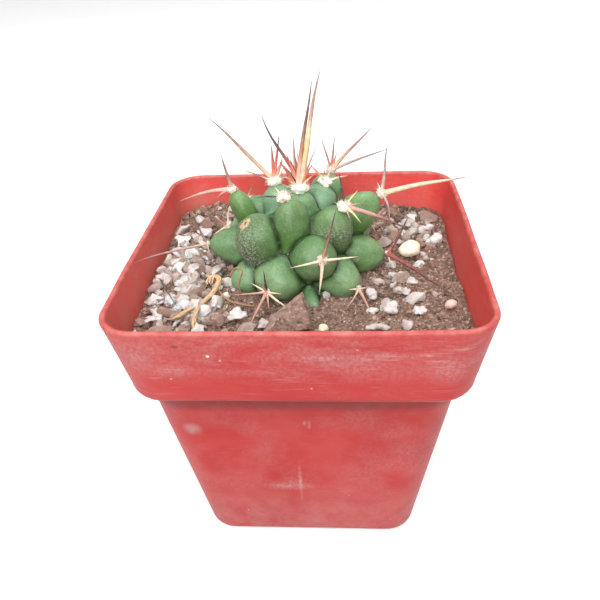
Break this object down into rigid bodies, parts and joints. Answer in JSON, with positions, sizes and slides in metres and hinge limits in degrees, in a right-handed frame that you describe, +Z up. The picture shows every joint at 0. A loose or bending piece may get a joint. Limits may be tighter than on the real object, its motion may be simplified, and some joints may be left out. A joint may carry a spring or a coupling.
{
  "type": "potted round cactus",
  "caption": "Young round cactus with large rounded tubercles and long spines, in a square red plastic nursery pot with gritty soil.",
  "frame": {"origin": "middle of the pot's base, on the surface it stands on", "axes": "+Z up through the pot, -Y towards the pot's front, +X to its right"},
  "size_m": [0.08, 0.08, 0.1087],
  "materials": {
    "red_plastic": "satin",
    "sandy_soil": "matte",
    "green_skin": "satin",
    "spine_horn": "satin",
    "white_perlite": "matte",
    "cream_stone": "matte",
    "dry_root": "matte"
  },
  "bodies": {
    "root": {"cactus_stem": "green_skin", "loose_spine": "spine_horn", "pebble_1": "cream_stone", "pebble_2": "cream_stone", "pebble_3": "cream_stone", "perlite_01": "white_perlite", "perlite_02": "white_perlite", "perlite_03": "white_perlite", "perlite_04": "white_perlite", "perlite_05": "white_perlite", "perlite_06": "white_perlite", "perlite_07": "white_perlite", "perlite_08": "white_perlite", "perlite_09": "white_perlite", "perlite_10": "white_perlite", "perlite_11": "white_perlite", "perlite_12": "white_perlite", "perlite_13": "white_perlite", "perlite_14": "white_perlite", "perlite_15": "white_perlite", "perlite_16": "white_perlite", "perlite_17": "white_perlite", "perlite_18": "white_perlite", "pot": "red_plastic", "root_strand_long": "dry_root", "root_strand_short": "dry_root", "soil": "sandy_soil", "soil_clod": "sandy_soil", "spines_back": "spine_horn", "spines_back_left": "spine_horn", "spines_back_low": "spine_horn", "spines_back_low_left": "spine_horn", "spines_back_low_right": "spine_horn", "spines_back_middle": "spine_horn", "spines_back_right": "spine_horn", "spines_front": "spine_horn", "spines_front_low_left": "spine_horn", "spines_front_low_right": "spine_horn", "spines_left": "spine_horn", "spines_left_back": "spine_horn", "spines_middle": "spine_horn", "spines_right": "spine_horn", "spines_right_back": "spine_horn", "spines_right_front": "spine_horn", "spines_top": "spine_horn", "spines_top_left": "spine_horn", "spines_top_right": "spine_horn"}
  },
  "joints": []
}
